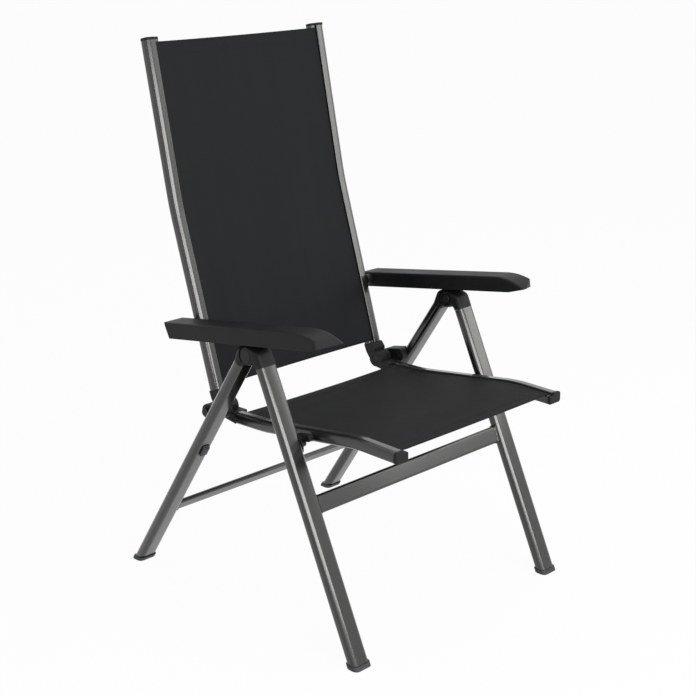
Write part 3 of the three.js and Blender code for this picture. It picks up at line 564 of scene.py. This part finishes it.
def side_solid(points, start, end, leg, side):
    """A plain prism between two places across the leg, from a side view."""
    put = leg_place(leg)
    bm = bmesh.new()
    skin(bm, [[put(side * (LEG_X + x), p.x, p.y) for p in points] for x in (start, end)])
    return new_object("cutter", bm)


def disc(radius, steps=64):
    """A circle round the leg hinge."""
    return turn_on((0.0, 0.0), radius, 0.0, 2 * math.pi * (steps - 1) / steps, steps - 1)


def elbow(name, side):
    """The elbow on top of a front leg, with the slot for the rear leg's tongue."""
    leg = LEGS["front_leg"]
    half = LEG_SIZE[0] / 2
    room = TONGUE / 2 + FIT
    obj = cheeks(elbow_outline, name, leg, side)
    boolean(obj, side_solid(disc(SLOT_RADIUS), -room, room, leg, side))
    for start, end in ((half - PIN_HEAD[1], half + OVERRUN), (-half - OVERRUN, PIN_HEAD[1] - half)):
        boolean(obj, side_solid(disc(PIN_HEAD[0], 48), start, end, leg, side))
    reshade(obj, MOULDING_SHARP)
    return obj


def rear_cap(name, side):
    """The cap on top of a rear leg, with its tongue and the catch that the armrest's rack rests on."""
    leg = LEGS["rear_leg"]
    half = LEG_SIZE[0] / 2
    room = TONGUE / 2
    obj = cheeks(cap_outline, name, leg, side)
    for start, end in ((room, half + OVERRUN), (-half - OVERRUN, -room)):
        boolean(obj, side_solid(disc(HUB + 2 * FIT), start, end, leg, side))
    hub = (0.0, 0.0, HUB)
    shoulder = (REAR_SHOULDER[0], REAR_SHOULDER[1], REAR_SHOULDER[2] - TONGUE_INSET)
    tongue = side_solid(belt(hub, shoulder), TONGUE_SLACK - room, room - TONGUE_SLACK, leg, side)
    boolean(obj, tongue, "UNION")
    lean = math.radians(-leg["lean"])
    root, reach, tip_radius = CATCH
    tip = (-reach * math.sin(lean), reach * math.cos(lean), tip_radius)
    lug = belt((0.0, 0.0, root), tip)
    boolean(obj, side_solid(lug, CATCH_SLACK - room, room - CATCH_SLACK, leg, side), "UNION")
    reshade(obj, MOULDING_SHARP)
    return obj


def rail_outlines():
    """A rail's section: the main tube, the lobe that holds the sling, and the groove between them."""
    inner, groove, outer = RAIL_X
    top = RAIL_DEPTH / 2
    half = SLIT_WIDTH / 2
    lobe = top - LOBE_STEP
    lean = math.asin(half / GROOVE_RADIUS)
    corners = (
        (groove + half, top),
        (outer, top),
        (outer, -top),
        (inner, -top),
        (inner, lobe),
        (groove - half, lobe),
    )
    outline = rounded([(*corner, radius) for corner, radius in zip(corners, RAIL_CORNERS)], 10, 0.3)
    first, last = math.pi / 2 + lean, 5 * math.pi / 2 - lean
    cave = turn_on((groove, BEAD_LEVEL), GROOVE_RADIUS, first, last, 14)
    hollow_inner = groove + GROOVE_RADIUS + WALL
    centre = ((hollow_inner + outer - WALL) / 2, 0.0)
    hole = rounded_box(outer - WALL - hollow_inner, RAIL_DEPTH - 2 * WALL, HOLLOW_CORNER, centre, 4)
    return [outline + cave, hole]


def rail_tube(name, line, side):
    bm = bmesh.new()
    stations = [line.total * i / RAIL_STEPS for i in range(RAIL_STEPS + 1)]
    sweep(bm, rail_outlines(), stations, lambda u, v, s: line.point(side * u, s, v))
    return new_object(name, bm)


def crossbar(name, bar):
    """A flat tube between two legs, with a plate and a ridged weld bead at each end."""
    leg = LEGS[bar["leg"]]
    put = leg_place(leg)
    depth, height = bar["size"]
    middle = (leg["offset"] - LEG_SIZE[1] / 2 + bar["setback"] + depth / 2, -bar["reach"])
    end = LEG_X - LEG_SIZE[0] / 2 - FIT
    thickness, rim = FLANGE
    reach = end - thickness
    tube_outline = rounded_box(depth, height, bar["corner"], middle)
    plate_outline = rounded_box(depth + 2 * rim, height + 2 * rim, bar["corner"] + rim, middle)

    def place(u, v, x):
        return put(x, u, v)

    bm = bmesh.new()
    sweep(bm, [tube_outline], [-reach, -reach / 3, reach / 3, reach], place)
    for side in (-1, 1):
        sweep(bm, [plate_outline], [side * reach, side * end], place)
        weld_bead(bm, bar, middle, side * reach, side, place)
    return new_object(name, bm, sharp=50)


WELD_OFFSET = 0.3  # the weld's path runs this far outside the bar
WELD_STEP = 0.7  # length of mesh along the weld
WELD_SIZE = 1.35
WELD_RIPPLE = 0.32
WELD_TURNS = 1.25  # radians of ripple per millimetre
WELD_JITTER = (0.2, 0.08)  # of the ripple's phase and of the size
WELD_SECTION = ((-0.5, -0.4), (0.95, -0.3), (1.0, 0.25), (0.6, 0.85), (0.0, 1.15), (-0.5, 0.8))  # out, along


def weld_bead(bm, bar, middle, x, side, place):
    """A ring of overlapping ripples where the bar meets its plate."""
    depth, height = bar["size"]
    rng = random.Random(int(height))
    wide, high = depth + 2 * WELD_OFFSET, height + 2 * WELD_OFFSET
    path = rounded_box(wide, high, bar["corner"] + WELD_OFFSET, middle, 6)
    fine = []
    for a, b in zip(path, path[1:] + path[:1]):
        count = max(1, round((b - a).length / WELD_STEP))
        fine += [a.lerp(b, i / count) for i in range(count)]
    rings = []
    run = 0.0
    centre = Vector(middle)
    for i, point in enumerate(fine):
        run += (point - fine[i - 1]).length if i else 0.0
        wave = abs(math.sin(run * WELD_TURNS + rng.uniform(-WELD_JITTER[0], WELD_JITTER[0])))
        size = WELD_SIZE + WELD_RIPPLE * wave + rng.uniform(-WELD_JITTER[1], WELD_JITTER[1])
        out = (point - centre).normalized()
        rings.append([
            place(point.x + out.x * d * size, point.y + out.y * d * size, x - side * e * size)
            for d, e in WELD_SECTION
        ])
    rows = [[bm.verts.new(p) for p in ring] for ring in rings]
    for row, following in zip(rows, rows[1:] + rows[:1]):
        bridge(bm, row, following)


# Materials


class Nodes:
    """A short way to write a material's nodes."""

    def __init__(self, name):
        self.material = bpy.data.materials.new(name)
        self.material.use_nodes = True
        self.tree = self.material.node_tree
        self.shader = self.tree.nodes["Principled BSDF"]
        self.coords = self.make("ShaderNodeTexCoord").outputs["Object"]

    def make(self, kind, links=None, **values):
        node = self.tree.nodes.new(kind)
        for key, value in values.items():
            setattr(node, key, value)
        for socket, source in (links or {}).items():
            self.put(node.inputs[socket], source)
        return node

    def put(self, socket, source):
        if isinstance(source, bpy.types.NodeSocket):
            self.tree.links.new(source, socket)
        else:
            socket.default_value = source

    def noise(self, scale, detail=3.0, roughness=0.5, stretch=None):
        vector = self.coords
        if stretch:
            vector = self.make("ShaderNodeMapping", {"Vector": vector, "Scale": stretch}).outputs[0]
        node = self.make(
            "ShaderNodeTexNoise",
            {"Vector": vector, "Scale": scale, "Detail": detail, "Roughness": roughness},
        )
        return node.outputs["Fac"]

    def math(self, operation, a, b=0.0):
        node = self.make("ShaderNodeMath", operation=operation)
        self.put(node.inputs[0], a)
        self.put(node.inputs[1], b)
        return node.outputs[0]

    def ramp(self, factor, low, high, at=(0.0, 1.0)):
        """From low to high while the factor goes through the range at."""
        links = {"Value": factor, "From Min": at[0], "From Max": at[1], "To Min": low, "To Max": high}
        return self.make("ShaderNodeMapRange", links).outputs[0]

    def mix(self, factor, a, b):
        node = self.make("ShaderNodeMix", data_type="RGBA")
        self.put(node.inputs["Factor"], factor)
        self.put(node.inputs[6], a)
        self.put(node.inputs[7], b)
        return node.outputs[2]

    def bump(self, height, distance, strength=1.0, normal=None):
        node = self.make("ShaderNodeBump", {"Height": height, "Distance": distance, "Strength": strength})
        if normal is not None:
            self.put(node.inputs["Normal"], normal)
        return node.outputs["Normal"]

    def bevel(self, radius):
        node = self.make("ShaderNodeBevel", samples=4)
        node.inputs["Radius"].default_value = radius
        return node.outputs["Normal"]

    def edge(self, radius):
        """1 along sharp edges, 0 elsewhere: the rounded normal leaves the true one there."""
        geometry = self.make("ShaderNodeNewGeometry")
        dot = self.make("ShaderNodeVectorMath", operation="DOT_PRODUCT")
        self.put(dot.inputs[0], self.bevel(radius))
        self.put(dot.inputs[1], geometry.outputs["True Normal"])
        return self.ramp(dot.outputs["Value"], 1.0, 0.0, (0.75, 0.98))

    def set(self, **values):
        for key, value in values.items():
            self.put(self.shader.inputs[key.replace("_", " ")], value)


def grey(level, tint=(1.0, 1.0, 1.0)):
    return (level * tint[0], level * tint[1], level * tint[2], 1.0)


PAINT_EDGE = 0.0012  # rounding of an edge that the light sees, in metres
PLASTIC_EDGE = 0.0010
STEEL_EDGE = 0.0006


def painted_alloy():
    """Graphite metallic paint: fine flakes, a faint orange peel, and a rubbed tone along edges."""
    n = Nodes("graphite_paint")
    flakes = n.noise(2600, 1.0, 0.6)
    cloud = n.noise(9, 3.0)
    dark, light = grey(0.016, (0.98, 1.0, 0.93)), grey(0.030, (0.99, 1.0, 0.9))
    tone = n.mix(n.ramp(flakes, 0.0, 1.0, (0.35, 0.65)), dark, light)
    tone = n.mix(n.ramp(cloud, 0.0, 0.35, (0.4, 0.7)), tone, grey(0.023, (0.98, 1.0, 0.95)))
    rubbed = n.ramp(n.noise(55, 4.0, 0.7), 0.0, 0.35, (0.45, 0.7))
    tone = n.mix(n.math("MULTIPLY", n.edge(PAINT_EDGE), rubbed), tone, grey(0.05))
    n.set(Base_Color=tone, Metallic=0.85, Roughness=n.ramp(n.noise(120, 2.0), 0.30, 0.40, (0.3, 0.7)))
    n.set(Coat_Weight=1.0, Coat_Roughness=0.15, Coat_IOR=1.5)
    normal = n.bump(n.noise(260, 2.0), 0.00004, 0.35, n.bevel(PAINT_EDGE))
    n.set(Normal=n.bump(flakes, 0.00001, 0.25, normal))
    return n.material


def moulded_plastic(name="moulded_plastic", level=0.0055, rough=(0.42, 0.54)):
    """Charcoal plastic with a fine spark-eroded grain, duller in patches and paler on handled edges."""
    n = Nodes(name)
    grain = n.noise(1500, 2.0, 0.6)
    cloud = n.noise(14, 3.0)
    dark, light = grey(level, (0.9, 1.0, 1.06)), grey(level * 1.35, (0.91, 1.0, 1.05))
    tone = n.mix(n.ramp(cloud, 0.0, 1.0, (0.35, 0.7)), dark, light)
    handled = n.ramp(n.noise(70, 4.0, 0.7), 0.0, 0.5, (0.45, 0.75))
    tone = n.mix(n.math("MULTIPLY", n.edge(PLASTIC_EDGE), handled), tone, grey(level * 3.2))
    n.set(Base_Color=tone, Roughness=n.ramp(cloud, rough[0], rough[1], (0.3, 0.7)))
    n.set(Specular_IOR_Level=0.2)
    n.set(Normal=n.bump(grain, 0.00006, 0.5, n.bevel(PLASTIC_EDGE)))
    return n.material


def blackened_steel():
    """Dark plated pins and rivets with turning marks."""
    n = Nodes("blackened_steel")
    marks = n.noise(900, 2.0, 0.5, (1.0, 14.0, 14.0))
    tone = n.mix(n.ramp(n.noise(60), 0.0, 1.0, (0.35, 0.7)), grey(0.010), grey(0.022))
    n.set(Base_Color=tone, Metallic=0.4, Roughness=n.ramp(marks, 0.4, 0.55, (0.3, 0.7)))
    n.set(Specular_IOR_Level=0.3)
    n.set(Normal=n.bump(marks, 0.00003, 0.4, n.bevel(STEEL_EDGE)))
    return n.material


YARN = 0.0019  # spacing of the sling's yarns, in metres
YARN_TINT = (0.9, 1.0, 1.08)
PAINTED_SHEEN_TINT = (0.92, 1.0, 1.07)


def woven_cloth(name, run):
    """Plastic-coated yarns in a plain weave, with painted shade in the hollows between yarns and painted
    sheen in lighter streaks; run names the object axis that the length follows.
    """
    n = Nodes(name)
    parts = n.make("ShaderNodeSeparateXYZ", {"Vector": n.coords}).outputs
    turn = 2 * math.pi / (2 * YARN)
    u = n.math("MULTIPLY", parts["X"], turn)
    v = n.math("MULTIPLY", parts[run], turn)
    su, sv = n.math("SINE", u), n.math("SINE", v)
    over = n.math("GREATER_THAN", n.math("MULTIPLY", su, sv), 0.0)
    warp = n.math("ABSOLUTE", su)
    weft = n.math("ABSOLUTE", sv)
    height = n.make("ShaderNodeMix", data_type="FLOAT")
    n.put(height.inputs[0], over)
    n.put(height.inputs[2], n.math("POWER", warp, 0.6))
    n.put(height.inputs[3], n.math("POWER", weft, 0.6))
    lift = n.math("MULTIPLY", height.outputs[0], n.math("MAXIMUM", warp, weft))
    sheen_streak = n.noise(38, 3.0, 0.6, (1.0, 0.05, 0.05))
    cloud = n.noise(5, 2.0)
    yarn = n.mix(over, grey(0.0070, YARN_TINT), grey(0.0100, YARN_TINT))
    # Painted shade: the low parts of the weave, between the yarns, are darkened towards near black, and the
    # yarn crowns keep their colour.
    tone = n.mix(n.ramp(lift, 0.0, 1.0, (0.15, 0.8)), grey(0.004, YARN_TINT), yarn)
    # Painted sheen: lighter streaks along the yarns and lighter patches, in the sheen tint.
    tone = n.mix(n.ramp(sheen_streak, 0.0, 0.35, (0.4, 0.75)), tone, grey(0.0120, PAINTED_SHEEN_TINT))
    tone = n.mix(n.ramp(cloud, 0.0, 0.3, (0.35, 0.7)), tone, grey(0.0080, PAINTED_SHEEN_TINT))
    n.set(Base_Color=tone, Roughness=n.ramp(lift, 0.78, 0.58), Specular_IOR_Level=0.15)
    n.set(Normal=n.bump(lift, 0.00025, 0.7))
    return n.material


def sewing_thread():
    """Dull black thread with a visible twist."""
    n = Nodes("sewing_thread")
    twist = n.noise(1400, 2.0, 0.5, (1.0, 4.0, 4.0))
    tone = n.mix(n.ramp(twist, 0.0, 1.0, (0.35, 0.65)), grey(0.008), grey(0.015))
    n.set(Base_Color=tone, Roughness=0.7, Specular_IOR_Level=0.25)
    n.set(Normal=n.bump(twist, 0.0001, 0.6))
    return n.material


alloy = painted_alloy()
plastic = moulded_plastic()
armrest_plastic = moulded_plastic("armrest_plastic", 0.006, (0.46, 0.58))
grey_plastic = moulded_plastic("grey_plastic", 0.045)
steel = blackened_steel()
thread = sewing_thread()


def finish_with(obj, material):
    obj.data.materials.clear()
    obj.data.materials.append(material)


def dress(piece, material, body, node=None):
    """Gives a piece of this script its material and its body, and hides the solid that it stands in for."""
    finish_with(piece, material)
    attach(piece, body)
    if node:
        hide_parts(node)


# The frame's own solids, which take a material by their names

ALLOY = ("rear_leg_", "front_leg_", "crossbar", "seat_rail", "back_rail", "stretcher")
for name, node in frame["nodes"].items():
    if any(part in name for part in ALLOY) and "cap" not in name:
        chosen = alloy
    elif "_pin_" in name:
        chosen = steel
    elif "armrest_shell" in name:
        chosen = armrest_plastic
    elif "fold_buffer" in name or "foot" in name:
        chosen = grey_plastic
    else:
        chosen = plastic
    for place in node.material_slots:
        place.material = chosen

# Legs, crossbars, rails and the leg hinges' mouldings, drawn with finer corners than their solids

SIDES = ((1, "left"), (-1, "right"))
for part, leg in LEGS.items():
    for side, word in SIDES:
        piece = leg_tube(f"{part}_tube_{word}", leg, side)
        dress(piece, alloy, leg["body"], f"{part}_{word}")
for part, body, make in (("leg_elbow", "front_frame", elbow), ("rear_leg_cap", "rear_frame", rear_cap)):
    for side, word in SIDES:
        piece = make(f"{part}_moulding_{word}", side)
        dress(piece, plastic, body, f"{part}_{word}")
for part, bar in BARS.items():
    piece = crossbar(f"{part}_welded", bar)
    dress(piece, alloy, LEGS[bar["leg"]]["body"], part)
for part, body, line in (("back", "backrest", BACK), ("seat", "seat", SEAT)):
    for side, word in SIDES:
        piece = rail_tube(f"{part}_rail_tube_{word}", line, side)
        dress(piece, alloy, body, f"{part}_rail_{word}")

# The two slings: name, body, line, sag, draw of the ends, axis of the yarns' length, seed

SLINGS = (
    ("back", "backrest", BACK, 2.0, 1.2, "Z", 7),
    ("seat", "seat", SEAT, 3.5, 2.0, "Y", 11),
)
for part, body, line, sag, draw, run, seed in SLINGS:
    cloth = woven_cloth(f"{part}_weave", run)
    sheet, surface, span = sling_sheet(f"{part}_sling_sheet", line, sag, draw, seed)
    dress(sheet, cloth, body, f"{part}_sling")
    beads = sling_beads(f"{part}_sling_beads", line)
    dress(beads, plastic, body)
    stitches = stitch_rows(f"{part}_sling_stitches", surface, span)
    dress(stitches, thread, body)

# Floor, light and background

FLOOR_REACH = 30000.0
FLOOR_GLOW = 0.95  # share of white that the camera and the reflections see in the floor
FILL = 0.42  # strength of the background's light on dull surfaces
WHITE = (1.0, 1.0, 1.0)


def floor():
    bm = bmesh.new()
    for x, y in ((-1, -1), (1, -1), (1, 1), (-1, 1)):
        bm.verts.new((x * FLOOR_REACH, y * FLOOR_REACH, 0.0))
    bm.faces.new(bm.verts)
    obj = new_object("floor", bm)
    n = Nodes("floor_paint")
    n.set(Base_Color=grey(0.86), Roughness=0.9)
    path = n.make("ShaderNodeLightPath").outputs
    seen = n.math("MAXIMUM", path["Is Camera Ray"], path["Is Glossy Ray"])
    glow = n.make("ShaderNodeEmission", {"Color": (*WHITE, 1.0), "Strength": 1.0})
    mix = n.make("ShaderNodeMixShader", {0: n.math("MULTIPLY", seen, FLOOR_GLOW)})
    n.tree.links.new(n.shader.outputs[0], mix.inputs[1])
    n.tree.links.new(glow.outputs[0], mix.inputs[2])
    n.tree.links.new(mix.outputs[0], n.tree.nodes["Material Output"].inputs["Surface"])
    finish_with(obj, n.material)


def world():
    """White where it is seen or reflected, and a plain fill light elsewhere."""
    studio = bpy.data.worlds.new("studio")
    studio.use_nodes = True
    bpy.context.scene.world = studio
    tree = studio.node_tree
    background = tree.nodes["Background"]
    background.inputs["Color"].default_value = (*WHITE, 1.0)
    path = tree.nodes.new("ShaderNodeLightPath")
    seen = path.outputs["Is Camera Ray"]
    for ray in ("Is Glossy Ray", "Is Transmission Ray"):
        either = tree.nodes.new("ShaderNodeMath")
        either.operation = "MAXIMUM"
        tree.links.new(seen, either.inputs[0])
        tree.links.new(path.outputs[ray], either.inputs[1])
        seen = either.outputs[0]
    strength = tree.nodes.new("ShaderNodeMapRange")
    strength.inputs["To Min"].default_value = FILL
    strength.inputs["To Max"].default_value = 1.0
    tree.links.new(seen, strength.inputs["Value"])
    tree.links.new(strength.outputs[0], background.inputs["Strength"])


def lamp(name, place, aim, size, power, colour=WHITE):
    data = bpy.data.lights.new(name, "AREA")
    data.shape = "RECTANGLE"
    data.size, data.size_y = size
    data.energy = power
    data.color = colour
    obj = bpy.data.objects.new(name, data)
    obj.location = place
    obj.rotation_euler = (Vector(aim) - Vector(place)).to_track_quat("-Z", "Y").to_euler()
    bpy.context.scene.collection.objects.link(obj)


floor()
world()
CENTRE = (0.0, 0.0, 0.5)
lamp("key_lamp", (-0.8, -3.42, 1.55), (0.0, 0.0, 0.7), (4.4, 1.0), 128)
lamp("right_lamp", (2.45, -2.05, 1.6), CENTRE, (1.2, 1.1), 15, (0.99, 1.0, 0.94))
lamp("top_lamp", (0.3, 0.4, 3.6), CENTRE, (2.4, 2.4), 16)
